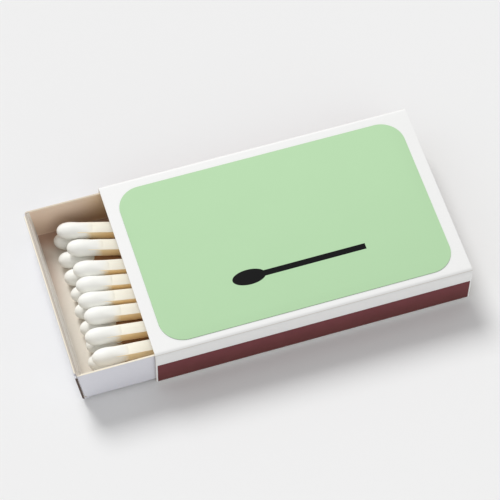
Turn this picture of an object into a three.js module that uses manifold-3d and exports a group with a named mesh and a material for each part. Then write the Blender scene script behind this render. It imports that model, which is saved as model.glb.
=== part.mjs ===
// Slim drawer-style matchbox with its tray pulled part way out, in millimetres, +Z up.
// Origin: middle of the sleeve's underside. +X runs along the sleeve, and the tray is drawn out towards -X.
import * as THREE from "three";
import { mergeVertices } from "three/addons/utils/BufferGeometryUtils.js";
import Module from "manifold-3d";

const wasm = await Module();
wasm.setup();

// Sleeve: one strip of board folded round four corners, its glue flap under the far side panel.
const SLEEVE_LENGTH = 53;
const SLEEVE_WIDTH = 33.1;
const SLEEVE_HEIGHT = 8.9;
const SLEEVE_BOARD = 0.35;
const SLEEVE_FOLD_RADIUS = 0.45; // inside the fold
const GLUE_FLAP_HEIGHT = 6.6;
const GLUE_BITE = 0.02; // how far the glued layers are pressed into one another
const SIDE_PANEL_CUT = 0.3; // from the table up to the cut edge of the glued side panel

// Paper label on top, and the striking strips on the two long sides.
const LABEL_THICKNESS = 0.1;
const LABEL_CORNER_RADIUS = 4;
const LABEL_END_MARGIN = 2.07;
const LABEL_NEAR_MARGIN = 1.5;
const LABEL_FAR_MARGIN = 2;
const STRIP_THICKNESS = 0.06;
const STRIP_HEIGHT = 5.05;
const STRIP_BOTTOM = 0.75;
const STRIP_END_MARGIN = 0.25;

// Tray: one sheet with rolled ends, running inside the sleeve.
const TRAY_BOARD = 0.28;
const TRAY_FOLD_RADIUS = 0.3; // inside the long bottom folds
const CORNER_FOLD_RADIUS = 0.15; // inside the sharp folds at the corners and the end walls' feet
const ROLL_FOLD_RADIUS = 0.02; // inside the tight folds over the ends
const ROLL_WIDTH = 0.64; // over both layers of an end wall at its rim
const ROLL_DEPTH = 2.3; // from the rim down to where the tucked flap stands clear of the corner flaps
const TRAY_SIDE_CLEARANCE = 0.2;
const TRAY_TOP_CLEARANCE = 0.18;
const TRAY_FLOOR_CLEARANCE = 0.05;
const TRAY_OPEN = 13.05; // how far the tray is drawn out of the sleeve
const END_LEAN = 1; // how far the end walls lean outwards at their rim
const LAYER_GAP = 0.04; // air between the folded layers of an end wall
const CORNER_FLAP_LENGTH = 8.5;
const CORNER_FLAP_DROP = 2.4; // from the rim down to a corner flap's top edge
const CORNER_FLAP_LIFT = 0.5; // from the bottom fold up to a corner flap's lower edge
const INNER_FLAP_SIDE_GAP = 0.45;
const INNER_FLAP_LIFT = 0.2; // from the tray's floor up to the tucked edge
const END_PANEL_SIDE_GAP = 0.05;
const END_PANEL_DROP = 0.45; // from the rim down to where only the rolled flap goes on

// Matches: square splints with dipped heads, lying askew with their tails together.
const MATCH_LENGTH = 41.5;
const SPLINT_WIDTH = 2;
const HEAD_LENGTH = 6.3;
const HEAD_RADIUS = 1.45;
const NECK_HALF_WIDTH = 1.17;
const NOSE_LENGTH = 2;
const NOSE_POWER = 2; // a round section
const NECK_POWER = 10; // a square section with soft corners
const DIP_START = 2.2; // from the head's tip to the buried end of the splint
const DIP_CLEARANCE = 0.02;
const LYING_GAP = 0.06;
const HEAD_GAP = 0.25;
const NEAR_HEAD_MARGIN = 4.15; // from the near wall to the middle of the last head
const FAR_HEAD_MARGIN = 2.85;
const TAIL_MARGIN = 1.2; // from the near wall to the middle of the last tail
const TAIL_PITCH = 2.13;
const TIP_MARGIN = 3.9; // from the head-end wall's rim to the foremost tips
// How each match of a layer, from the near wall to the far one, strays from its even place:
// its tip back and to the far side, and its tail away from the tail before it.
const TOP_LAYER = {
  back: [0, -0.1, 0.8, 0.65, 1.1, 1.45, 1.6, 0.9],
  far: [-0.4, 0.1, 0.4, -0.05, -0.55, -1, -0.16, 0.07],
  tailGap: [0, 0, 0, 0, 0, 0, 0.3, 1.3],
};
const LOWER_LAYER = {
  back: [-0.55, 0, -0.1, -0.05, 0.2, 0.05, 0.05, 0.25],
  far: [0.57, 0.3, 0.1, 0, -0.2, -0.25, -0.2, 0.1],
  tailGap: [0, 0, 0, 0, 0, 0.2, 0.4, 0.8],
};

const FOLD_STEPS = 6;
const HEAD_SIDES = 16;
const HEAD_RINGS = 10;
const MERGE_TOLERANCE = 1e-4;

const sleeveInsideHeight = SLEEVE_HEIGHT - 2 * SLEEVE_BOARD;
const trayMiddleY = -SLEEVE_BOARD / 2; // the far side of the sleeve is two boards thick
const trayWidth = SLEEVE_WIDTH - 3 * SLEEVE_BOARD - 2 * TRAY_SIDE_CLEARANCE;
const trayBottomZ = SLEEVE_BOARD + TRAY_FLOOR_CLEARANCE;
const trayHeight = sleeveInsideHeight - TRAY_FLOOR_CLEARANCE - TRAY_TOP_CLEARANCE;
const trayRimZ = trayBottomZ + trayHeight;
const trayFootLength = SLEEVE_LENGTH - 2 * END_LEAN;
const trayInsideWidth = trayWidth - 2 * TRAY_BOARD;
const trayFloorZ = trayBottomZ + TRAY_BOARD;
const endWallThickness = 3 * TRAY_BOARD + 2 * LAYER_GAP;
const cornerSize = 2 * TRAY_BOARD + LAYER_GAP + CORNER_FOLD_RADIUS; // end panel, flap and fold
const leanAt = (z) => (END_LEAN * (z - trayBottomZ)) / trayHeight;

const material = (color, roughness) =>
  new THREE.MeshStandardMaterial({ color, roughness, metalness: 0 });
const whiteBoard = material(0xf6f5f3, 0.62);
const greenPaper = material(0xb9deb1, 0.7);
const strikingCoat = material(0x643a42, 0.9);
const linedBoard = material(0xe9e2d6, 0.75);
const aspen = material(0xf0dfbd, 0.8);
const headCompound = material(0xf4f3ee, 0.55);

// Geometry to solid, and back.
function solidOf(geometry) {
  const bare = geometry.clone();
  bare.deleteAttribute("normal");
  bare.deleteAttribute("uv");
  const merged = mergeVertices(bare, MERGE_TOLERANCE);
  return new wasm.Manifold(
    new wasm.Mesh({
      numProp: 3,
      vertProperties: new Float32Array(merged.attributes.position.array),
      triVerts: new Uint32Array(merged.index.array),
    }),
  );
}

function geometryOf(solid) {
  const mesh = solid.getMesh();
  const geometry = new THREE.BufferGeometry();
  geometry.setAttribute("position", new THREE.BufferAttribute(mesh.vertProperties, 3));
  geometry.setIndex(new THREE.BufferAttribute(mesh.triVerts, 1));
  const faceted = geometry.toNonIndexed();
  faceted.computeVertexNormals();
  return faceted;
}

const joined = (geometries) => geometryOf(geometries.map(solidOf).reduce((a, b) => a.add(b)));

function piece(name, geometry, finish) {
  const mesh = new THREE.Mesh(geometry, finish);
  mesh.name = name;
  return mesh;
}

// Section of a folded board: a centre line given by its sharp corners, each rounded, and widened to the board.
function boardSection(corners, board, insideRadius) {
  const radius = insideRadius + board / 2;
  const points = corners.map(([u, v]) => new THREE.Vector2(u, v));
  const left = [];
  const right = [];
  const add = (point, direction) => {
    const side = new THREE.Vector2(-direction.y, direction.x).multiplyScalar(board / 2);
    left.push(point.clone().add(side));
    right.push(point.clone().sub(side));
  };
  points.forEach((corner, i) => {
    const before = i > 0 ? corner.clone().sub(points[i - 1]).normalize() : null;
    const after = i < points.length - 1 ? points[i + 1].clone().sub(corner).normalize() : null;
    if (!before || !after) {
      add(corner, before ?? after);
      return;
    }
    const turn = Math.atan2(before.cross(after), before.dot(after));
    const reach = radius * Math.tan(Math.abs(turn) / 2);
    const start = corner.clone().addScaledVector(before, -reach);
    const inward = new THREE.Vector2(-before.y, before.x).multiplyScalar(Math.sign(turn));
    const centre = start.clone().addScaledVector(inward, radius);
    for (let step = 0; step <= FOLD_STEPS; step++) {
      const angle = (turn * step) / FOLD_STEPS;
      const direction = before.clone().rotateAround(new THREE.Vector2(), angle);
      add(start.clone().rotateAround(centre, angle), direction);
    }
  });
  return new THREE.Shape([...left, ...right.reverse()]);
}

const extruded = (shape, depth, curveSegments = FOLD_STEPS) =>
  new THREE.ExtrudeGeometry(shape, { depth, bevelEnabled: false, curveSegments });

// A section drawn in Y and Z, extruded along X about the middle of the part.
function alongX(shape, length) {
  const turn = new THREE.Matrix4().makeBasis(
    new THREE.Vector3(0, 1, 0),
    new THREE.Vector3(0, 0, 1),
    new THREE.Vector3(1, 0, 0),
  );
  return extruded(shape, length).applyMatrix4(turn).translate(-length / 2, 0, 0);
}

// A section drawn in X and Z, extruded along Y about y = 0.
const alongY = (shape, width) =>
  extruded(shape, width).rotateX(Math.PI / 2).translate(0, width / 2, 0);

function sleeve() {
  const half = SLEEVE_BOARD / 2;
  const nearY = -SLEEVE_WIDTH / 2 + half;
  const farY = SLEEVE_WIDTH / 2 - half;
  const flapY = farY - SLEEVE_BOARD + GLUE_BITE;
  const topZ = SLEEVE_HEIGHT - half;
  const wrap = [
    [flapY, SLEEVE_BOARD + GLUE_FLAP_HEIGHT],
    [flapY, half],
    [nearY, half],
    [nearY, topZ],
    [0, topZ],
  ];
  const gluedSide = [
    [nearY / 2, topZ],
    [farY, topZ],
    [farY, SIDE_PANEL_CUT],
  ];
  const layers = [wrap, gluedSide].map((corners) =>
    alongX(boardSection(corners, SLEEVE_BOARD, SLEEVE_FOLD_RADIUS), SLEEVE_LENGTH),
  );
  return piece("sleeve", joined(layers), whiteBoard);
}

function label() {
  const x = SLEEVE_LENGTH / 2 - LABEL_END_MARGIN;
  const nearY = -SLEEVE_WIDTH / 2 + LABEL_NEAR_MARGIN;
  const farY = SLEEVE_WIDTH / 2 - LABEL_FAR_MARGIN;
  const r = LABEL_CORNER_RADIUS;
  const outline = new THREE.Shape();
  outline.absarc(x - r, farY - r, r, 0, Math.PI / 2);
  outline.absarc(-x + r, farY - r, r, Math.PI / 2, Math.PI);
  outline.absarc(-x + r, nearY + r, r, Math.PI, 1.5 * Math.PI);
  outline.absarc(x - r, nearY + r, r, 1.5 * Math.PI, 2 * Math.PI);
  outline.closePath();
  const mesh = piece("top_label", extruded(outline, LABEL_THICKNESS, 2 * FOLD_STEPS), greenPaper);
  mesh.position.z = SLEEVE_HEIGHT;
  return mesh;
}

// The striking coat is a thin printed band, flat against its side panel.
function strikingStrip(name, side) {
  const face = (side * SLEEVE_WIDTH) / 2;
  const outer = face + side * STRIP_THICKNESS;
  const section = new THREE.Shape(
    [
      [face, STRIP_BOTTOM],
      [outer, STRIP_BOTTOM],
      [outer, STRIP_BOTTOM + STRIP_HEIGHT],
      [face, STRIP_BOTTOM + STRIP_HEIGHT],
    ].map(([y, z]) => new THREE.Vector2(y, z)),
  );
  return piece(name, alongX(section, SLEEVE_LENGTH - 2 * STRIP_END_MARGIN), strikingCoat);
}

// The corner of the tray at its head end and near side: the side panel is folded round behind the end wall.
function trayCorner(flapLength, topZ) {
  const half = TRAY_BOARD / 2;
  const sideY = -trayWidth / 2 + half;
  const flapX = -trayFootLength / 2 + TRAY_BOARD + LAYER_GAP + half;
  const bottomZ = trayBottomZ + TRAY_BOARD + CORNER_FLAP_LIFT;
  const plan = boardSection(
    [
      [flapX + END_LEAN + 2 * cornerSize, sideY],
      [flapX, sideY],
      [flapX, sideY + flapLength],
    ],
    TRAY_BOARD,
    CORNER_FOLD_RADIUS,
  );
  const shear = new THREE.Matrix4().makeShear(0, 0, 0, 0, -END_LEAN / trayHeight, 0);
  return extruded(plan, topZ - bottomZ)
    .translate(0, 0, bottomZ - trayBottomZ)
    .applyMatrix4(shear)
    .translate(0, 0, trayBottomZ);
}

// The head-end wall in section: up from the floor, over the rim and down again inside.
function endWall() {
  const half = TRAY_BOARD / 2;
  const outside = (z) => [-trayFootLength / 2 + half - leanAt(z), z];
  const inside = (z) => [outside(z)[0] + endWallThickness - TRAY_BOARD, z];
  const footZ = trayBottomZ + half;
  const rimZ = trayRimZ - half;
  const panel = [
    [-trayFootLength / 2 + cornerSize + TRAY_BOARD, footZ],
    outside(footZ),
    outside(trayRimZ - END_PANEL_DROP),
  ];
  const roll = [
    outside((footZ + rimZ) / 2),
    outside(rimZ),
    [outside(rimZ)[0] + ROLL_WIDTH - TRAY_BOARD, rimZ],
    inside(rimZ - ROLL_DEPTH),
    inside(trayFloorZ + INNER_FLAP_LIFT),
  ];
  return [
    alongY(boardSection(panel, TRAY_BOARD, CORNER_FOLD_RADIUS), trayWidth - 2 * END_PANEL_SIDE_GAP),
    alongY(
      boardSection(roll, TRAY_BOARD, ROLL_FOLD_RADIUS),
      trayInsideWidth - 2 * INNER_FLAP_SIDE_GAP,
    ),
  ];
}

// A shape mirrored to the other end or side, with its faces turned out again.
function mirrored(geometry, x, y) {
  const copy = geometry.clone().scale(x, y, 1);
  if (x * y > 0) return copy;
  const position = copy.attributes.position;
  const corner = new THREE.Vector3();
  const swapped = new THREE.Vector3();
  for (let i = 0; i < position.count; i += 3) {
    corner.fromBufferAttribute(position, i + 1);
    swapped.fromBufferAttribute(position, i + 2);
    position.setXYZ(i + 1, ...swapped);
    position.setXYZ(i + 2, ...corner);
  }
  return copy;
}

function tray() {
  const half = TRAY_BOARD / 2;
  const sideY = trayWidth / 2 - half;
  const channel = boardSection(
    [
      [-sideY, trayRimZ],
      [-sideY, trayBottomZ + half],
      [sideY, trayBottomZ + half],
      [sideY, trayRimZ],
    ],
    TRAY_BOARD,
    TRAY_FOLD_RADIUS,
  );
  const stubLength = half + CORNER_FOLD_RADIUS + TRAY_BOARD;
  const layers = [alongX(channel, trayFootLength - 2 * cornerSize)];
  for (const end of [1, -1]) {
    for (const wall of endWall()) layers.push(mirrored(wall, end, 1));
    for (const side of [1, -1]) {
      layers.push(mirrored(trayCorner(stubLength, trayRimZ), end, side));
      layers.push(mirrored(trayCorner(CORNER_FLAP_LENGTH, trayRimZ - CORNER_FLAP_DROP), end, side));
    }
  }
  return piece("tray", joined(layers), linedBoard);
}

// A dipped head on the axis X from its tip at 0: round at the nose and squared where it thins onto the splint.
function headGeometry() {
  const profile = [];
  for (let ring = 0; ring <= HEAD_RINGS; ring++) {
    const share = ring / HEAD_RINGS;
    if (share <= 0.5) {
      const angle = share * Math.PI;
      const x = NOSE_LENGTH * (1 - Math.cos(angle));
      profile.push(new THREE.Vector2(ring ? HEAD_RADIUS * Math.sin(angle) : 0, x));
    } else {
      const along = 2 * share - 1;
      const swell = (1 + Math.cos(Math.PI * along)) / 2;
      const radius = NECK_HALF_WIDTH + (HEAD_RADIUS - NECK_HALF_WIDTH) * swell;
      profile.push(new THREE.Vector2(radius, NOSE_LENGTH + along * (HEAD_LENGTH - NOSE_LENGTH)));
    }
  }
  profile.push(new THREE.Vector2(0, HEAD_LENGTH));
  const geometry = new THREE.LatheGeometry(profile, HEAD_SIDES);
  const position = geometry.attributes.position;
  for (let i = 0; i < position.count; i++) {
    const along = position.getY(i) / HEAD_LENGTH;
    const power = NOSE_POWER + (NECK_POWER - NOSE_POWER) * along;
    const angle = Math.atan2(position.getX(i), position.getZ(i));
    const square =
      (Math.abs(Math.cos(angle)) ** power + Math.abs(Math.sin(angle)) ** power) ** (-1 / power);
    position.setX(i, position.getX(i) * square);
    position.setZ(i, position.getZ(i) * square);
  }
  return geometry.rotateZ(-Math.PI / 2);
}

// A square bar on the axis X.
const bar = (width, from, to) =>
  new THREE.BoxGeometry(to - from, width, width).translate((from + to) / 2, 0, 0);

const pocket = bar(
  SPLINT_WIDTH + 2 * DIP_CLEARANCE,
  DIP_START - DIP_CLEARANCE,
  HEAD_LENGTH + HEAD_RADIUS,
);
const dippedHead = geometryOf(solidOf(headGeometry()).subtract(solidOf(pocket)));
const splint = bar(SPLINT_WIDTH, DIP_START, MATCH_LENGTH);

// One match from its tip to the middle of its tail, both in the tray's frame.
function match(name, tip, tail) {
  const group = new THREE.Group();
  group.add(piece(name + "_stick", splint, aspen), piece(name + "_head", dippedHead, headCompound));
  group.position.copy(tip);
  const yaw = Math.asin((tail.y - tip.y) / MATCH_LENGTH);
  const droop = Math.asin((tip.z - tail.z) / MATCH_LENGTH);
  group.rotation.set(0, droop, yaw, "ZYX");
  return group;
}

// A layer of matches. Its heads lie on the heads below and its tails on the tails below.
function matchLayer(name, level, stray) {
  const nearWall = -trayInsideWidth / 2;
  const headRoom = trayInsideWidth - NEAR_HEAD_MARGIN - FAR_HEAD_MARGIN;
  const count = Math.floor(headRoom / (2 * HEAD_RADIUS + HEAD_GAP)) + 1;
  const pitch = headRoom / (count - 1);
  const headZ = trayFloorZ + LYING_GAP + HEAD_RADIUS + level * (2 * HEAD_RADIUS + LYING_GAP);
  const tailZ = trayFloorZ + LYING_GAP + SPLINT_WIDTH / 2 + level * (SPLINT_WIDTH + LYING_GAP);
  const tipX = -SLEEVE_LENGTH / 2 + TIP_MARGIN;
  const matches = [];
  let tailY = nearWall + TAIL_MARGIN;
  for (let i = 0; i < count; i++) {
    const strayOf = (list) => list[Math.min(i, list.length - 1)];
    const headY = nearWall + NEAR_HEAD_MARGIN + pitch * i + strayOf(stray.far);
    const tip = new THREE.Vector3(tipX + strayOf(stray.back), headY, headZ);
    if (i > 0) tailY += TAIL_PITCH + strayOf(stray.tailGap);
    const tail = new THREE.Vector3(0, tailY, tailZ);
    matches.push(match(`${name}_match_${count - i}`, tip, tail));
  }
  return matches;
}

const drawer = new THREE.Group();
drawer.position.set(-TRAY_OPEN, trayMiddleY, 0);
drawer.add(tray(), ...matchLayer("lower", 0, LOWER_LAYER), ...matchLayer("top", 1, TOP_LAYER));

const matchbox = new THREE.Group();
matchbox.add(
  sleeve(),
  label(),
  strikingStrip("striker_near", -1),
  strikingStrip("striker_far", 1),
  drawer,
);

export default matchbox;
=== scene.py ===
"""Finer pieces, finishes and a studio for a slim drawer matchbox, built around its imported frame."""
import math
import random

import bmesh
import bpy
from mathutils import Matrix, Vector


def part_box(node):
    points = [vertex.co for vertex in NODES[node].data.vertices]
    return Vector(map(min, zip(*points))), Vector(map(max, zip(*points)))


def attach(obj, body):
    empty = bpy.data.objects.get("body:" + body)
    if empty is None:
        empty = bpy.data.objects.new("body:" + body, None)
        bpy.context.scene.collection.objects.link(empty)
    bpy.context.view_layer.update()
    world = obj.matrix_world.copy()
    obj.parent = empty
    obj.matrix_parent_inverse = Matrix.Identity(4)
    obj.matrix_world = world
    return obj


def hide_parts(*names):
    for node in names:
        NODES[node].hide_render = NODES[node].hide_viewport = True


bl_info = {
    "name": "Drawer Matchbox",
    "version": (1, 0, 0),
    "blender": (4, 5, 0),
    "location": "View3D > Sidebar > Matchbox",
    "description": "Models a slim drawer matchbox with its sleeve, tray, label, strikers and matches",
    "category": "Object",
}

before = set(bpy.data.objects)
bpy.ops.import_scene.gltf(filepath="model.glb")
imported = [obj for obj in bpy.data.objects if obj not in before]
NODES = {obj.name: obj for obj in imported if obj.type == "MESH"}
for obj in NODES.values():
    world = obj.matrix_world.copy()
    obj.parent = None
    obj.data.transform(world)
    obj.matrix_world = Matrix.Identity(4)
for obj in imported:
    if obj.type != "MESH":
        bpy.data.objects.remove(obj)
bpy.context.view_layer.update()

MM = 0.001
GRAIN_STEP = 3  # from one match's wood pattern to the next one's, in millimetres
MATCH_SEED = 5
SMOOTH = math.radians(35)  # edges sharper than this stay sharp
TOUCHING = 0.001 * MM  # places nearer to one another than this are the same
MATCHES = sorted(name[: -len("_stick")] for name in NODES if name.endswith("_stick"))


def srgb(*levels):
    """A colour as it is read off a screen, 0 to 255, for a property's default."""
    return tuple(level / 255 for level in levels)


def linear(colour):
    """The shader's value of a screen colour."""
    levels = [c / 12.92 if c <= 0.04045 else ((c + 0.055) / 1.055) ** 2.4 for c in colour]
    return (*levels, 1.0)


def length(name, description, millimetres):
    return bpy.props.FloatProperty(
        name=name, description=description, default=millimetres * MM, min=0.0, precision=5,
        subtype="DISTANCE", unit="LENGTH",
    )


def angle(name, description, degrees):
    return bpy.props.FloatProperty(
        name=name, description=description, default=math.radians(degrees), subtype="ANGLE",
        unit="ROTATION",
    )


def strength(name, description, default):
    return bpy.props.FloatProperty(name=name, description=description, default=default, min=0.0)


def colour(name, description, *levels):
    return bpy.props.FloatVectorProperty(
        name=name, description=description, default=srgb(*levels), size=3, min=0.0, max=1.0,
        subtype="COLOR_GAMMA",
    )


class StudioSettings(bpy.types.PropertyGroup):
    """Camera, lamps and floor."""

    floor: colour("Floor", "Pale table top", 240, 240, 240)
    floor_size: length("Floor size", "Side of the table top", 4000)
    sky: strength("Sky", "Level of the even light from all round", 0.48)
    key: strength("Key", "Strength of the soft lamp behind the box", 2.0)
    key_height: angle("Key height", "How high the key lamp stands", 47)
    key_turn: angle("Key turn", "How far the key lamp stands to the left of straight behind", 14)
    key_softness: angle("Key softness", "How wide the key lamp looks from the box", 24)
    fill: strength("Fill", "Strength of the soft lamp in front", 0.57)
    fill_height: angle("Fill height", "How high the front lamp stands", 15)
    fill_softness: angle("Fill softness", "How wide the front lamp looks from the box", 70)
    lens: bpy.props.FloatProperty(
        name="Lens", description="Focal length", default=178.28, unit="CAMERA",
    )
    camera_place: bpy.props.FloatVectorProperty(
        name="Camera place", description="Where the camera stands",
        default=(-72.50 * MM, -195.78 * MM, 350.22 * MM), subtype="TRANSLATION", unit="LENGTH",
    )
    camera_turn: angle("Camera turn", "How far the camera is round to the left", -18.843)
    camera_height: angle("Camera height", "How far the camera looks down", 59.08)
    camera_roll: angle("Camera roll", "Tilt of the camera about its line of sight", 1.403)


class BoardSettings(bpy.types.PropertyGroup):
    """The white board of the sleeve."""

    thickness: length("Board", "Thickness of the sleeve's board", 0.35)
    fold_radius: length("Fold radius", "Radius of the folds, inside", 0.45)
    glue_flap: length("Glue flap", "Height of the flap glued inside the far side", 6.6)
    glue_gap: length("Glue gap", "Room between the glued layers", 0.005)
    cut_above_table: length("Cut edge", "Height of the far side's cut edge above the table", 0.3)
    soft_cut: length("Soft cut", "Rounding of the cut edges", 0.04)
    white: colour("White", "Coated white outside", 242, 242, 241)
    core: colour("Core", "Cut edge of the board", 240, 235, 226)
    inside: colour("Inside", "Uncoated inside", 196, 184, 164)


class LabelSettings(bpy.types.PropertyGroup):
    """The green paper label and its black motif."""

    green: colour("Green", "Label paper", 184, 219, 176)
    ink: colour("Ink", "Printed motif", 8, 8, 9)
    # Painted shadow: the label's cut edge is darker, standing in for the thin shadow line along its
    # edges.
    cut: colour("Cut", "Cut edge of the paper, in its own shade", 122, 136, 120)
    corner: length("Corner", "Radius of the label's corners", 4)
    soft_edge: length("Soft edge", "Rounding of the label's upper edge", 0.02)
    motif_place: bpy.props.FloatVectorProperty(
        name="Motif place", description="Middle of the printed match", subtype="TRANSLATION",
        unit="LENGTH", default=(0.3 * MM, -7.1 * MM, 0.0),
    )
    motif_length: length("Motif length", "Length of the printed match", 22.5)
    motif_stick: length("Motif stick", "Width of the printed match's stick", 1.1)
    motif_head: length("Motif head", "Width of the printed match's head", 2.8)


class StrikerSettings(bpy.types.PropertyGroup):
    """The striking coat on both sides."""

    upper: colour("Upper", "Striking coat near its upper edge", 118, 64, 68)
    lower: colour("Lower", "Striking coat near its lower edge", 104, 55, 54)
    grain: length("Grain", "Size of the coat's grains", 0.12)
    soft_edge: length("Soft edge", "Rounding of the coat's edge", 0.02)


class TraySettings(bpy.types.PropertyGroup):
    """The folded tray."""

    outside: colour("Outside", "White liner outside", 226, 226, 233)
    inside: colour("Inside", "Uncoated inside", 236, 229, 218)
    # Painted warm shade: the far wall's inside is tinted warmer than the board's own inside, standing
    # in for shade and warm bounce light.
    far_side_shade: colour("Far side", "Uncoated inside, on the side away from the front", 240, 216, 194)
    # Painted shade on the tray's floor along the far side and, towards it, along the end.
    far_floor_shade: colour("Far floor", "Uncoated inside, on the floor along the far side", 197, 166, 147)
    # Painted shade: a dark line, with its width and where it starts below the rim, standing in for the
    # shadow in the slit where an end wall's panel meets the folded corner.
    slit_shade: colour("Slit", "Bare board where an end wall's panel meets the folded corner", 98, 82, 76)
    slit_width: length("Slit width", "Width of that bare board", 0.26)
    slit_top: length("Slit top", "How far below the rim it starts", 0.5)
    lean: length("Lean", "How far the end walls lean out at their rim", 1)
    roll: length("Roll", "Width of a rolled end wall", 1.05)
    roll_height: length("Roll height", "How far down the top of a rolled end wall reaches", 0.12)
    rim_line: length("Rim line", "Width of the bare line along the rim of an end wall", 0.25)
    # Reach of the painted shade on the tray's floor.
    shade_width: length("Shade width", "How far from the far side the floor is darker", 5.5)
    end_shade_width: length("End shade width", "How far from the end the floor is darker", 4.5)
    rolled: colour("Rolled end", "White liner, where the end walls are rolled inwards", 250, 245, 238)
    board: length("Board", "Thickness of the tray's board", 0.28)
    cut: colour("Cut edge", "Cream core of the cut edges", 246, 238, 220)
    # Painted shade: the cut edge on the far half is darker than the same core on the near half.
    far_cut_shade: colour("Far cut edge", "Core of the far side's cut edge", 218, 204, 184)
    # Painted light: the far wall's inside is lighter towards the sleeve's mouth.
    far_mouth_light: colour("Far mouth", "Uncoated inside, on the far side towards the mouth", 255, 226, 188)
    # Painted shade on top of the rolled end walls, darkening the white liner there.
    roll_top_shade: colour("Roll's top", "White liner, on top of the rolled end walls", 198, 188, 176)
    soft_cut: length("Soft cut", "Rounding of the cut edges", 0.03)


class MatchSettings(bpy.types.PropertyGroup):
    """The splints and their heads."""

    # The two aspen colours are lit and shaded copies of one wood: the sideways faces' warmer, darker
    # colour is painted shade with warm bounce light.
    wood: colour("Wood", "Aspen, on the faces along the rings", 255, 251, 236)
    wood_side_shade: colour("Wood, side", "Aspen, on the faces across the rings", 255, 231, 186)
    # Painted shade: the lower layer's wood is darker and browner, standing in for the shade in the gaps
    # between matches.
    wood_low_shade: colour("Wood, below", "Aspen of the lower layer", 180, 132, 92)
    compound: colour("Head", "White head compound", 252, 252, 247)
    # Height up to which the wood gets that painted shade.
    lower_layer: length("Lower layer", "Height that the wood of the lower layer reaches", 3.6)
    thin_from: length("Thin from", "How far from the nose the compound starts to thin", 4.4)
    thin_to: length("Thin to", "How far from the nose the wood shows fully", 6.2)
    neck: length("Neck", "Half the head's width where it thins onto the splint", 1.015)
    neck_edge: length("Neck edge", "Rounding of the head's edges at its neck", 0.35)
    splint_width: length("Splint", "Width of a splint", 2)
    splint_edge: length("Splint edge", "Rounding of the splint's long edges", 0.07)
    unevenness: length("Unevenness", "How far a splint's faces stray", 0.02)


class MatchboxSettings(bpy.types.PropertyGroup):
    """All sizes and colours of the matchbox."""

    studio: bpy.props.PointerProperty(type=StudioSettings)
    board: bpy.props.PointerProperty(type=BoardSettings)
    label: bpy.props.PointerProperty(type=LabelSettings)
    striker: bpy.props.PointerProperty(type=StrikerSettings)
    tray: bpy.props.PointerProperty(type=TraySettings)
    match: bpy.props.PointerProperty(type=MatchSettings)


class Value:
    """A socket in shader maths, so that a pattern is written as an expression."""

    def __init__(self, finish, socket):
        self.finish = finish
        self.socket = socket

    def maths(self, operation, *terms):
        made = self.finish.node("Math", {"operation": operation}, dict(enumerate(terms)))
        return Value(self.finish, made.outputs[0])

    def __add__(self, other):
        return self.maths("ADD", self, other)

    __radd__ = __add__

    def __sub__(self, other):
        return self.maths("SUBTRACT", self, other)

    def __rsub__(self, other):
        return self.maths("SUBTRACT", other, self)

    def __mul__(self, other):
        return self.maths("MULTIPLY", self, other)

    __rmul__ = __mul__

    def __abs__(self):
        return self.maths("ABSOLUTE", self)

    def over(self, level):
        return self.maths("GREATER_THAN", self, level)

    def under(self, level):
        return self.maths("LESS_THAN", self, level)

    def least(self, other):
        return self.maths("MINIMUM", self, other)

    def most(self, other):
        return self.maths("MAXIMUM", self, other)

    def ramp(self, start, end, low=0.0, high=1.0):
        """Goes smoothly from low to high while this value goes from start to end."""
        settings = {"interpolation_type": "SMOOTHSTEP", "clamp": True}
        inputs = {"Value": self, "From Min": start, "From Max": end, "To Min": low, "To Max": high}
        return Value(self.finish, self.finish.node("MapRange", settings, inputs).outputs[0])

    def fall(self, start, end):
        """Goes smoothly from 1 to 0 while this value goes from start to end."""
        return self.ramp(start, end, 1.0, 0.0)

    def stray(self, share):
        """A pattern from 0 to 1 as a stray about 0, that wide from its lowest to its highest."""
        return (self - 0.5) * share


class Nodes:
    """The node tree of a material or of the world, emptied."""

    def __init__(self, owner):
        owner.use_nodes = True
        self.tree = owner.node_tree
        self.tree.nodes.clear()

    def node(self, kind, settings=None, inputs=None):
        made = self.tree.nodes.new("ShaderNode" + kind)
        for name, value in (settings or {}).items():
            setattr(made, name, value)
        for key, value in (inputs or {}).items():
            socket = made.inputs[key]
            if isinstance(value, Value):
                self.tree.links.new(value.socket, socket)
            elif isinstance(value, bpy.types.NodeSocket):
                self.tree.links.new(value, socket)
            else:
                socket.default_value = value
        return made


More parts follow.
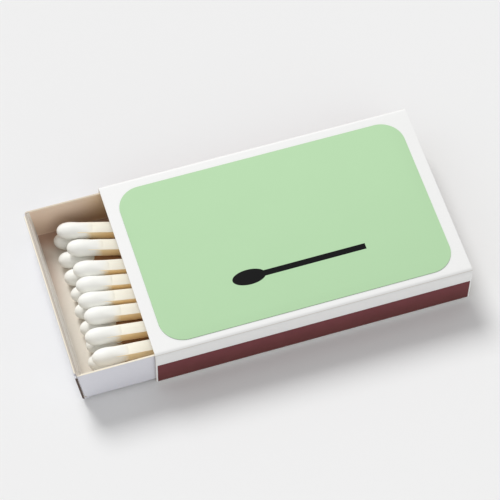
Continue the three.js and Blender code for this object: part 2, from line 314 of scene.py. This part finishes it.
class Finish(Nodes):
    """A material, with the places and patterns that it is painted by."""

    def __init__(self, name, **constants):
        self.material = bpy.data.materials.new(name)
        super().__init__(self.material)
        self.shader = self.node("BsdfPrincipled", {}, constants)
        self.node("OutputMaterial", {}, {"Surface": self.shader.outputs[0]})
        place = self.node("TexCoord").outputs["Object"]
        self.place = self.scaled(place, (1 / MM,) * 3)
        self.xyz = self.parts(self.place)

    def scaled(self, vector, scale):
        return self.node("VectorMath", {"operation": "MULTIPLY"}, {0: vector, 1: scale}).outputs[0]

    def attribute(self, name):
        """A vector kept on the mesh, in millimetres."""
        return self.node("Attribute", {"attribute_name": name}).outputs["Vector"]

    def parts(self, vector):
        """The three numbers of a vector."""
        return [Value(self, part) for part in self.node("SeparateXYZ", {}, {0: vector}).outputs]

    def noise(self, vector, scale, detail=2.0, roughness=0.5):
        inputs = {"Vector": vector, "Scale": scale, "Detail": detail, "Roughness": roughness}
        return Value(self, self.node("TexNoise", {}, inputs).outputs[0])

    def cells(self, vector, scale):
        return Value(self, self.node("TexVoronoi", {}, {"Vector": vector, "Scale": scale}).outputs[0])

    def mix(self, mask, first, second):
        inputs = {0: mask, 6: self.paint(first), 7: self.paint(second)}
        return self.node("Mix", {"data_type": "RGBA"}, inputs).outputs[2]

    def layered(self, paint, *layers):
        """A colour with others laid over it, each where its mask is 1."""
        for mask, colour in layers:
            paint = self.mix(mask, paint, colour)
        return paint

    def paint(self, colour):
        return colour if isinstance(colour, bpy.types.NodeSocket) else linear(colour)

    def shade(self, colour, level):
        """The colour, brighter or darker by a value about 1."""
        if not isinstance(colour, bpy.types.NodeSocket):
            colour = linear(colour)[:3]
        combined = self.node("CombineXYZ", {}, {0: level, 1: level, 2: level}).outputs[0]
        return self.node("VectorMath", {"operation": "MULTIPLY"}, {0: colour, 1: combined}).outputs[0]

    def bump(self, height, distance, strength=1.0):
        inputs = {"Height": height, "Distance": distance * MM, "Strength": strength}
        return self.node("Bump", {}, inputs).outputs[0]

    def connect(self, **inputs):
        for name, value in inputs.items():
            socket = value.socket if isinstance(value, Value) else value
            self.tree.links.new(socket, self.shader.inputs[name.replace("_", " ")])
        return self.material


# How little a surface shines: the shader's own level is 0.5.
DULL = {"Specular IOR Level": 0.2}
MATT = {"Specular IOR Level": 0.1}
DRY = {"Specular IOR Level": 0.0, "Roughness": 0.9}
WHITE_LIGHT = (1.0, 1.0, 1.0, 1.0)


def white_board(settings):
    """Coated white outside, cream core at the cuts and an uncoated grey-beige inside."""
    finish = Finish("white_board", **DULL)
    x, y, z = finish.xyz
    _, high = (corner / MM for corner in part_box("sleeve"))
    skin = 0.5 * settings.thickness / MM
    blend, cut_depth = 0.1, 0.004
    from_outside = (high.y - abs(y)).least(z).least(high.z - z)
    inner = from_outside.ramp(skin, skin + blend)
    cut = abs(x).over(high.x - cut_depth)
    stretched = finish.scaled(finish.place, (0.5, 1.6, 1.6))
    fibre = finish.noise(stretched, scale=3.2, detail=5.0, roughness=0.62)
    cloud = finish.noise(finish.place, scale=0.16, detail=2.0)
    level = 1.0 + fibre.stray(0.035) + cloud.stray(0.02)
    paint = finish.layered(settings.white, (inner, settings.inside), (cut, settings.core))
    return finish.connect(
        Base_Color=finish.shade(paint, level),
        Roughness=0.5 + fibre * 0.12 + inner * 0.2,
        Normal=finish.bump(fibre, distance=0.012, strength=0.5),
    )


def green_paper(settings):
    """Matt green paper with a match printed on it in black."""
    finish = Finish("green_paper", **MATT)
    x, y, z = finish.xyz
    _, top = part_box("top_label")
    soft, cut_depth = 0.04, 0.03
    # Painted shadow on the label's cut edge.
    cut = z.under(top.z / MM - cut_depth)
    place = settings.motif_place / MM
    half = settings.motif_length / MM / 2
    stick = settings.motif_stick / MM / 2
    head = settings.motif_head / MM / 2
    from_middle = x - place.x
    from_axis = abs(y - place.y)
    in_length = abs(from_middle).fall(half - soft, half)
    in_width = from_axis.fall(stick - soft, stick)
    along = (from_middle + half - 2 * head) * (0.5 / head)
    across = from_axis * (1 / head)
    oval = (along * along + across * across).fall(1.0 - soft, 1.0)
    behind_nose = (from_middle + half).over(head)
    motif = oval.most(in_length * in_width * behind_nose)
    stretched = finish.scaled(finish.place, (1.5, 0.6, 1.0))
    fibre = finish.noise(stretched, scale=4.0, detail=5.0, roughness=0.6)
    cloud = finish.noise(finish.place, scale=0.12, detail=3.0)
    level = 1.0 + fibre.stray(0.03) + cloud.stray(0.025)
    paint = finish.layered(settings.green, (motif, settings.ink), (cut, settings.cut))
    return finish.connect(
        Base_Color=finish.shade(paint, level),
        Roughness=0.55 + fibre * 0.15,
        Normal=finish.bump(fibre, distance=0.008, strength=0.5),
    )


def striking_coat(settings):
    """Fine grains of binder and glass, printed a little unevenly."""
    finish = Finish("striking_coat", **DULL)
    _, _, z = finish.xyz
    low, high = (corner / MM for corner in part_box("striker_near"))
    size = MM / settings.grain
    grains = finish.cells(finish.place, size)
    cloud = finish.noise(finish.place, scale=0.35, detail=4.0, roughness=0.6)
    speck = finish.noise(finish.place, scale=size * 0.8, detail=3.0, roughness=0.7)
    paint = finish.mix(z.ramp(low.z, high.z), settings.lower, settings.upper)
    level = 0.9 + grains * 0.16 + cloud.stray(0.3) + speck.ramp(0.62, 0.75) * 0.3
    return finish.connect(
        Base_Color=finish.shade(paint, level),
        Roughness=0.7 + grains * 0.25,
        Normal=finish.bump(grains + speck, distance=0.02, strength=0.6),
    )


def lined_board(settings):
    """White liner outside and over the rolled ends, uncoated inside, cream along the cuts."""
    finish = Finish("lined_board", **DULL)
    x, y, z = finish.xyz
    low, high = (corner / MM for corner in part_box("tray"))
    mouth, _ = (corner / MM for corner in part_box("sleeve"))
    board = settings.board / MM
    skin, blend, cut_depth = 0.5 * board, 0.05, 0.03
    # Reach of the painted light on the far wall, before and past the sleeve's mouth.
    before_mouth, past_mouth = 4.5, 2.5
    # Where the painted floor shade is full, from the far side and from the end.
    full_shade, end_wall = 1.0, 1.7

    from_far = high.y - y
    from_side = from_far.least(y - low.y)
    from_rim = high.z - z
    lean = settings.lean / MM / (high.z - low.z)
    from_end = (x - low.x).least(high.x - x) - from_rim * lean

    in_side = from_side.ramp(skin, skin + blend)
    inner = in_side * z.over(low.z + skin)
    # Painted warm shade on the inside of the far wall.
    far_side_shade = inner * from_far.fall(1.5 * board, 2.5 * board)
    # Painted light on the far wall, rising towards the sleeve's mouth.
    near_mouth_light = x.ramp(mouth.x - before_mouth, mouth.x + past_mouth)
    # Painted shade: the floor is darker along the far side and, towards the far side, along the end.
    on_floor = inner * z.under(low.z + board + 2 * blend)
    shade_by_far_side = from_far.fall(full_shade, settings.shade_width / MM)
    from_end_wall = (x - low.x).fall(end_wall, settings.end_shade_width / MM)
    shade_by_end = from_end_wall * y.ramp(-4.0, 10.0) * 0.6
    rolled = inner * from_end.under(settings.roll / MM)
    # Top of the rolled end walls, where they get painted shade.
    top = from_rim.under(settings.roll_height / MM)
    rim_line = inner * from_end.under(settings.rim_line / MM)
    # Painted shade in the slit at each corner, from a little below the rim down.
    below_rim = from_rim.over(settings.slit_top / MM)
    slit_shade = from_end.under(settings.slit_width / MM) * below_rim * (1.0 - in_side)
    cut = from_rim.under(cut_depth) * (1.0 - rolled)
    # The far half, whose cut edge gets painted shade.
    far_half = y.over((low.y + high.y) / 2)

    # Of these layers, the far wall's warm tint and its lighter part near the mouth, the darker strip of
    # floor, the top of the rolls, the slit and the far cut edge are painted light and shade.
    paint = finish.layered(
        settings.outside,
        (inner, settings.inside),
        (far_side_shade, finish.mix(near_mouth_light, settings.far_side_shade, settings.far_mouth_light)),
        (on_floor * shade_by_far_side.most(shade_by_end), settings.far_floor_shade),
        (rolled, settings.rolled),
        (rolled * top, settings.roll_top_shade),
        (rim_line, finish.mix(top, settings.outside, settings.cut)),
        (slit_shade, settings.slit_shade),
        (cut, finish.mix(far_half, settings.cut, settings.far_cut_shade)),
    )
    stretched = finish.scaled(finish.place, (0.6, 1.4, 1.2))
    fibre = finish.noise(stretched, scale=3.0, detail=5.0, roughness=0.6)
    cloud = finish.noise(finish.place, scale=0.22, detail=3.0)
    level = 1.0 + fibre.stray(0.05) + cloud.stray(0.04)
    return finish.connect(
        Base_Color=finish.shade(paint, level),
        Roughness=0.62 + fibre * 0.15,
        Normal=finish.bump(fibre, distance=0.012, strength=0.5),
    )


def aspen(settings):
    """Pale wood with its grain along the splint, by the vector kept on each splint."""
    finish = Finish("aspen", **DULL)
    own = finish.attribute("along_splint")
    grain = finish.noise(finish.scaled(own, (0.12, 2.6, 2.6)), scale=1.6, detail=5.0, roughness=0.6)
    pores = finish.noise(finish.scaled(own, (0.5, 9.0, 9.0)), scale=1.5, detail=2.0, roughness=0.7)
    rings = finish.noise(finish.scaled(own, (0.02, 0.9, 0.35)), scale=1.0, detail=2.0, roughness=0.4)
    # Sideways faces, which get the painted warm shade.
    side, _, _ = finish.parts(finish.attribute("splint_side"))
    _, _, z = finish.xyz
    blend = 0.2
    # Painted shade on the wood of the lower layer.
    low_wood_shade = z.fall(settings.lower_layer / MM - blend, settings.lower_layer / MM + blend)
    paint = finish.layered(settings.wood, (side, settings.wood_side_shade), (low_wood_shade, settings.wood_low_shade))
    level = 1.02 + grain.stray(0.12) + rings.stray(0.1) - pores.ramp(0.6, 0.75) * 0.06
    return finish.connect(
        Base_Color=finish.shade(paint, level),
        Roughness=0.62 + grain * 0.2,
        Normal=finish.bump(grain + pores * 0.6, distance=0.03, strength=0.5),
    )


def head_compound(settings):
    """Smooth white compound that thins to the wood's colour at the neck."""
    finish = Finish("head_compound", **DULL)
    along, _, _ = finish.parts(finish.attribute("along_splint"))
    cloud = finish.noise(finish.place, scale=0.9, detail=3.0)
    chalk = finish.noise(finish.place, scale=5.0, detail=3.0, roughness=0.6)
    side, _, _ = finish.parts(finish.attribute("splint_side"))
    uneven = cloud.stray(1.6)
    thin = (along + uneven).ramp(settings.thin_from / MM, settings.thin_to / MM)
    # At the neck the wood keeps its painted warm shade on the sideways faces.
    wood = finish.mix(side, settings.wood, settings.wood_side_shade)
    paint = finish.mix(thin, settings.compound, wood)
    level = 1.0 + cloud.stray(0.03) + chalk.stray(0.02)
    return finish.connect(
        Base_Color=finish.shade(paint, level),
        Roughness=0.42 + chalk * 0.16,
        Normal=finish.bump(chalk + cloud, distance=0.02, strength=0.35),
    )


def deselect():
    if bpy.context.object and bpy.context.object.mode != "OBJECT":
        bpy.ops.object.mode_set(mode="OBJECT")
    bpy.ops.object.select_all(action="DESELECT")


def begin(name, primitive, place, scale, **choices):
    """Adds a primitive of side 1, scaled, at its place and opens it in edit mode."""
    deselect()
    primitive(size=1, location=place, **choices)
    piece = bpy.context.object
    piece.name = piece.data.name = name
    piece.scale = scale
    bpy.ops.object.transform_apply(location=True, rotation=True, scale=True)
    bpy.ops.object.mode_set(mode="EDIT")
    return piece


def pick(piece, kind, test):
    """Selects the vertices, edges or faces whose middle passes the test, and nothing else."""
    bpy.ops.mesh.select_mode(type=kind)
    bpy.ops.mesh.select_all(action="DESELECT")
    mesh = bmesh.from_edit_mesh(piece.data)
    found = {"VERT": mesh.verts, "EDGE": mesh.edges, "FACE": mesh.faces}[kind]
    count = 0
    for element in found:
        corners = [element] if kind == "VERT" else element.verts
        middle = sum((v.co for v in corners), Vector()) / len(corners)
        if test(middle):
            element.select_set(True)
            count += 1
    if not count:
        raise RuntimeError(f"{piece.name}: nothing to select")
    mesh.select_flush_mode()
    bmesh.update_edit_mesh(piece.data)


def near(value, goal):
    return abs(value - goal) < TOUCHING


def pull(x=0.0, y=0.0, z=0.0):
    """Extrudes what is selected along a vector."""
    bpy.ops.mesh.extrude_region_move(TRANSFORM_OT_translate={"value": (x, y, z)})


def close():
    """Turns all faces outwards and leaves edit mode."""
    bpy.ops.mesh.select_all(action="SELECT")
    bpy.ops.mesh.normals_make_consistent(inside=False)
    bpy.ops.object.mode_set(mode="OBJECT")


def modify(piece, kind, **settings):
    """Adds a modifier and applies it."""
    bpy.ops.object.modifier_add(type=kind)
    modifier = piece.modifiers[-1]
    for name, value in settings.items():
        setattr(modifier, name, value)
    bpy.ops.object.modifier_apply(modifier=modifier.name)


def finish_piece(piece, material, body, nodes=(), smooth=SMOOTH):
    """Shades a modelled piece, gives it its material and sets it on its body."""
    deselect()
    piece.select_set(True)
    bpy.context.view_layer.objects.active = piece
    bpy.ops.object.shade_smooth_by_angle(angle=smooth)
    piece.data.materials.clear()
    piece.data.materials.append(material)
    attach(piece, body)
    if nodes:
        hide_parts(*nodes)
    return piece


class MATCHBOX_OT_studio(bpy.types.Operator):
    """Sets up the pale floor, the soft lamps and the camera"""

    bl_idname = "matchbox.studio"
    bl_label = "Studio"

    def sun(self, name, energy, height, turn, softness):
        """A soft lamp, far off, at a height above the floor and turned from straight behind."""
        lamp = bpy.data.objects.new(name, bpy.data.lights.new(name, "SUN"))
        lamp.data.energy = energy
        lamp.data.angle = softness
        away = Vector((
            -math.sin(turn) * math.cos(height), math.cos(turn) * math.cos(height), math.sin(height),
        ))
        lamp.location = away
        lamp.rotation_euler = away.to_track_quat("Z", "Y").to_euler()
        bpy.context.scene.collection.objects.link(lamp)

    def floor(self, context, studio):
        deselect()
        bpy.ops.mesh.primitive_plane_add(size=studio.floor_size)
        floor = context.object
        floor.name = "floor"
        table = Finish("floor", **DRY)
        cloud = table.noise(table.place, scale=0.02, detail=2.0)
        level = 1.0 + cloud.stray(0.004)
        table.connect(Base_Color=table.shade(studio.floor, level))
        floor.data.materials.append(table.material)

    def sky(self, context, studio):
        """Even light from all round, which the camera and mirrors see in the floor's colour."""
        world = bpy.data.worlds.new("studio")
        context.scene.world = world
        sky = Nodes(world)
        light = sky.node("Background", {}, {"Color": WHITE_LIGHT, "Strength": studio.sky})
        shown = sky.node("Background", {}, {"Color": linear(studio.floor)})
        rays = sky.node("LightPath").outputs
        camera_ray, glossy_ray, clear_ray = (
            Value(sky, rays[f"Is {kind} Ray"]) for kind in ("Camera", "Glossy", "Transmission")
        )
        seen = camera_ray.most(glossy_ray).most(clear_ray)
        mixed = sky.node("MixShader", {}, {0: seen, 1: light.outputs[0], 2: shown.outputs[0]})
        sky.node("OutputWorld", {}, {"Surface": mixed.outputs[0]})

    def camera(self, context, studio):
        camera = bpy.data.objects.new("camera", bpy.data.cameras.new("camera"))
        context.scene.collection.objects.link(camera)
        context.scene.camera = camera
        camera.data.lens = studio.lens
        camera.data.clip_start = 10 * MM
        turn, height, roll = studio.camera_turn, studio.camera_height, studio.camera_roll
        back = Vector((
            math.sin(turn) * math.cos(height), -math.cos(turn) * math.cos(height), math.sin(height),
        ))
        right = Vector((0, 0, 1)).cross(back).normalized()
        up = back.cross(right)
        tilted_right = right * math.cos(roll) + up * math.sin(roll)
        tilted_up = up * math.cos(roll) - right * math.sin(roll)
        axes = Matrix((tilted_right, tilted_up, back)).transposed().to_4x4()
        camera.matrix_world = Matrix.Translation(Vector(studio.camera_place)) @ axes

    def execute(self, context):
        studio = context.scene.matchbox.studio
        context.scene.view_settings.view_transform = "Standard"
        self.floor(context, studio)
        self.sky(context, studio)
        front = math.pi + studio.key_turn
        self.sun("key_lamp", studio.key, studio.key_height, studio.key_turn, studio.key_softness)
        self.sun("fill_lamp", studio.fill, studio.fill_height, front, studio.fill_softness)
        self.camera(context, studio)
        return {"FINISHED"}


class MATCHBOX_OT_sleeve(bpy.types.Operator):
    """Folds the sleeve from one strip of board, with its glue flap inside the far side"""

    bl_idname = "matchbox.sleeve"
    bl_label = "Sleeve"

    def execute(self, context):
        board = context.scene.matchbox.board
        low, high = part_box("sleeve")
        half = board.thickness / 2
        near_y, far_y = low.y + half, high.y - half
        bottom, top = low.z + half, high.z - half
        flap_y = far_y - board.thickness - board.glue_gap
        long = high.x - low.x
        width = flap_y - near_y
        place = (0.0, (near_y + flap_y) / 2, bottom)
        piece = begin("folded_sleeve", bpy.ops.mesh.primitive_plane_add, place, (long, width, 1))
        pick(piece, "EDGE", lambda p: near(p.y, flap_y))
        pull(z=board.thickness / 2 + board.glue_flap)
        pick(piece, "EDGE", lambda p: near(p.y, near_y))
        pull(z=top - bottom)
        pull(y=far_y - near_y)
        pull(z=low.z + board.cut_above_table - top)
        folds = ((flap_y, bottom), (near_y, bottom), (near_y, top), (far_y, top))
        pick(piece, "EDGE", lambda p: any(near(p.y, y) and near(p.z, z) for y, z in folds))
        bpy.ops.mesh.bevel(offset=board.fold_radius + half, segments=10, affect="EDGES")
        close()
        modify(piece, "SOLIDIFY", thickness=board.thickness, offset=0.0, use_even_offset=True)
        modify(piece, "BEVEL", width=board.soft_cut, segments=3, limit_method="ANGLE")
        finish_piece(piece, white_board(board), "sleeve_body", ["sleeve"])
        return {"FINISHED"}


class MATCHBOX_OT_label(bpy.types.Operator):
    """Lays the round-cornered paper label on the sleeve, with its printed motif"""

    bl_idname = "matchbox.label"
    bl_label = "Label"

    def execute(self, context):
        label = context.scene.matchbox.label
        low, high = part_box("top_label")
        middle, size = (low + high) / 2, high - low
        place = (middle.x, middle.y, low.z)
        piece = begin("paper_label", bpy.ops.mesh.primitive_plane_add, place, (size.x, size.y, 1))
        pick(piece, "VERT", lambda p: True)
        bpy.ops.mesh.bevel(offset=label.corner, segments=24, affect="VERTICES")
        bpy.ops.mesh.select_mode(type="FACE")
        bpy.ops.mesh.select_all(action="SELECT")
        pull(z=size.z)
        bpy.ops.mesh.bevel(offset=label.soft_edge, segments=3, affect="EDGES")
        close()
        finish_piece(piece, green_paper(label), "sleeve_body", ["top_label"])
        return {"FINISHED"}


class MATCHBOX_OT_strikers(bpy.types.Operator):
    """Coats both long sides with the striking strip"""

    bl_idname = "matchbox.strikers"
    bl_label = "Strikers"

    def execute(self, context):
        striker = context.scene.matchbox.striker
        material = striking_coat(striker)
        for node in ("striker_near", "striker_far"):
            low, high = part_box(node)
            side = 1 if high.y > 0 else -1
            face = low.y if side > 0 else high.y
            size = high - low
            place = ((low.x + high.x) / 2, face, (low.z + high.z) / 2)
            piece = begin(
                node + "_coat", bpy.ops.mesh.primitive_plane_add, place, (size.x, size.z, 1),
                rotation=(math.radians(-90 * side), 0, 0),
            )
            bpy.ops.mesh.select_all(action="SELECT")
            pull(y=side * size.y)
            bpy.ops.mesh.bevel(offset=striker.soft_edge, segments=2, affect="EDGES")
            close()
            finish_piece(piece, material, "sleeve_body", [node])
        return {"FINISHED"}


class MATCHBOX_OT_tray(bpy.types.Operator):
    """Softens the cut edges of the folded tray"""

    bl_idname = "matchbox.tray"
    bl_label = "Tray"

    flat = math.radians(0.2)
    cut_angle = math.radians(50)

    def execute(self, context):
        settings = context.scene.matchbox.tray
        deselect()
        piece = bpy.data.objects.new("folded_tray", NODES["tray"].data.copy())
        context.scene.collection.objects.link(piece)
        context.view_layer.objects.active = piece
        piece.select_set(True)
        bpy.ops.object.mode_set(mode="EDIT")
        bpy.ops.mesh.select_all(action="SELECT")
        bpy.ops.mesh.remove_doubles(threshold=TOUCHING)
        bpy.ops.mesh.customdata_custom_splitnormals_clear()
        bpy.ops.mesh.dissolve_limited(angle_limit=self.flat)
        bpy.ops.object.mode_set(mode="OBJECT")
        modify(
            piece, "BEVEL", width=settings.soft_cut, segments=2, limit_method="ANGLE",
            angle_limit=self.cut_angle, use_clamp_overlap=True,
        )
        finish_piece(piece, lined_board(settings), "tray_body", ["tray"])
        return {"FINISHED"}


def splint_frame(name):
    """Where a match lies: the matrix from its own axes, tip at 0 and the splint along X."""
    corners = sorted((v.co.copy() for v in NODES[name + "_stick"].data.vertices), key=lambda p: p.x)
    count = len(corners) // 2
    start = sum(corners[:count], Vector()) / count
    tail = sum(corners[count:], Vector()) / count
    along = (tail - start).normalized()
    across = Vector((0, 0, 1)).cross(along).normalized()
    up = along.cross(across)
    tip = min((v.co - start).dot(along) for v in NODES[name + "_head"].data.vertices)
    axes = Matrix((along, across, up)).transposed().to_4x4()
    return Matrix.Translation(start + along * tip) @ axes, -tip, (tail - start).length


class MATCHBOX_OT_matches(bpy.types.Operator):
    """Shapes one splint and one dipped head, and lays a copy of both at each match"""

    bl_idname = "matchbox.matches"
    bl_label = "Matches"

    # Along the head from its tip: place, half width and roundness of the section, in millimetres.
    rings = (
        (5.3, 1.06, 0.0),
        (4.5, 1.2, 0.4),
        (3.8, 1.33, 0.8),
        (3.0, 1.46, 1.0),
        (2.2, 1.53, 1.0),
        (1.35, 1.42, 1.0),
        (0.65, 1.18, 1.0),
        (0.15, 0.72, 1.0),
        (-0.04, 0.28, 1.0),
    )
    neck_end = 6.3
    splint_cuts = 24
    uneven_seed = 3
    swell_across = (0.99, 1.03)
    swell_up = (1.01, 1.05)

    def splint(self, settings, start, long):
        width = settings.splint_width
        middle = start + long / 2
        piece = begin("splint", bpy.ops.mesh.primitive_cube_add, (middle, 0, 0), (long, width, width))
        pick(piece, "EDGE", lambda p: near(p.x, middle))
        bpy.ops.mesh.bevel(offset=settings.splint_edge, segments=2, affect="EDGES")
        pick(piece, "EDGE", lambda p: near(p.x, middle))
        bpy.ops.mesh.subdivide(number_cuts=self.splint_cuts)
        bpy.ops.mesh.select_all(action="SELECT")
        bpy.ops.transform.vertex_random(offset=settings.unevenness, seed=self.uneven_seed, uniform=0.0)
        close()
        return piece

    def widen(self, place, times):
        """Scales the selected ring about the head's axis."""
        bpy.ops.transform.resize(value=(1, times, times), center_override=(place * MM, 0, 0))

    def round_off(self, piece):
        """Brings each ring to its width and spreads its vertices round it, by its roundness."""
        mesh = bmesh.from_edit_mesh(piece.data)
        quarter = math.pi / 2
        step = quarter / 3
        rings = {round(place, 3): (width, roundness) for place, width, roundness in self.rings}
        for v in mesh.verts:
            ring = rings.get(round(v.co.x / MM, 3))
            if not ring:
                continue
            width, roundness = ring
            radius = math.hypot(v.co.y, v.co.z)
            angle = math.atan2(v.co.z, v.co.y)
            corner = (math.floor(angle / quarter) + 0.5) * quarter
            # Each soft corner has three vertices: -1, 0 and 1.
            vertex = round(8 * (angle - corner) / quarter)
            angle += roundness * (corner + vertex * step - angle)
            radius += roundness * (width * MM - radius)
            v.co.y, v.co.z = radius * math.cos(angle), radius * math.sin(angle)
        bmesh.update_edit_mesh(piece.data)

    def head(self, settings):
        place, width, _ = self.rings[0]
        long = (self.neck_end - place) * MM
        middle = place * MM + long / 2
        neck = 2 * settings.neck
        piece = begin("head", bpy.ops.mesh.primitive_cube_add, (middle, 0, 0), (long, neck, neck))
        pick(piece, "EDGE", lambda p: near(p.x, middle))
        bpy.ops.mesh.bevel(offset=settings.neck_edge, segments=2, affect="EDGES")
        pick(piece, "FACE", lambda p: near(p.x, place * MM))
        self.widen(place, width * MM / settings.neck)
        for next_place, next_width, _ in self.rings[1:]:
            pull(x=(next_place - place) * MM)
            self.widen(next_place, next_width / width)
            place, width = next_place, next_width
        self.round_off(piece)
        close()
        modify(piece, "SUBSURF", levels=2, render_levels=2)
        return piece

    def keep_places(self, piece, index):
        """Keeps each vertex's place along its own splint, shifted so that no two matches look alike."""
        co = [v.co for v in piece.data.vertices]
        own = piece.data.attributes.new("along_splint", "FLOAT_VECTOR", "POINT")
        own.data.foreach_set("vector", [
            n for p in co for n in (p.x / MM, p.y / MM + GRAIN_STEP * index, p.z / MM)
        ])
        # Marks the sideways faces, where the wood's colour is painted warm shade.
        side = piece.data.attributes.new("splint_side", "FLOAT_VECTOR", "POINT")
        side.data.foreach_set("vector", [
            n for p in co for n in (float(abs(p.y) > abs(p.z)), 0.0, 0.0)
        ])

    def lay(self, model, name, matrix, roll, index, material, slot, node, smooth=SMOOTH):
        piece = model.copy()
        piece.data = model.data.copy()
        piece.name = piece.data.name = name
        bpy.context.scene.collection.objects.link(piece)
        piece.data.transform(roll)
        self.keep_places(piece, index)
        piece.data.transform(matrix)
        finish_piece(piece, material, "tray_body", [node], smooth)

    def execute(self, context):
        settings = context.scene.matchbox.match
        wood, compound = aspen(settings), head_compound(settings)
        _, start, long = splint_frame(MATCHES[0])
        splint = self.splint(settings, start, long)
        head = self.head(settings)
        draw = random.Random(MATCH_SEED)
        for index, name in enumerate(MATCHES):
            matrix, _, _ = splint_frame(name)
            turned = Matrix.Rotation(math.radians(90 * draw.randrange(4)), 4, "X")
            self.lay(splint, name + "_splint", matrix, turned, index, wood, "aspen", name + "_stick")
            across, up = draw.uniform(*self.swell_across), draw.uniform(*self.swell_up)
            swollen = Matrix.Diagonal((1, across, up, 1))
            self.lay(
                head, name + "_tip", matrix, swollen, index, compound, "head_compound", name + "_head",
                math.pi,
            )
        for model in (splint, head):
            bpy.data.meshes.remove(model.data)
        return {"FINISHED"}


class MATCHBOX_PT_panel(bpy.types.Panel):
    """Lists the matchbox's pieces and their settings"""

    bl_label = "Matchbox"
    bl_idname = "MATCHBOX_PT_panel"
    bl_space_type = "VIEW_3D"
    bl_region_type = "UI"
    bl_category = "Matchbox"

    def draw(self, context):
        for step, group in STEPS:
            box = self.layout.box()
            box.operator("matchbox." + step)
            settings = getattr(context.scene.matchbox, group)
            for name in settings.bl_rna.properties.keys():
                if name not in ("rna_type", "name"):
                    box.prop(settings, name)


STEPS = (
    ("studio", "studio"),
    ("sleeve", "board"),
    ("label", "label"),
    ("strikers", "striker"),
    ("tray", "tray"),
    ("matches", "match"),
)
CLASSES = (
    StudioSettings, BoardSettings, LabelSettings, StrikerSettings, TraySettings, MatchSettings,
    MatchboxSettings,
    MATCHBOX_OT_studio, MATCHBOX_OT_sleeve, MATCHBOX_OT_label, MATCHBOX_OT_strikers,
    MATCHBOX_OT_tray, MATCHBOX_OT_matches,
    MATCHBOX_PT_panel,
)


def register():
    for made in CLASSES:
        bpy.utils.register_class(made)
    bpy.types.Scene.matchbox = bpy.props.PointerProperty(type=MatchboxSettings)


def unregister():
    del bpy.types.Scene.matchbox
    for made in reversed(CLASSES):
        bpy.utils.unregister_class(made)


def main():
    register()
    for step, _ in STEPS:
        getattr(bpy.ops.matchbox, step)()


if __name__ == "__main__":
    main()
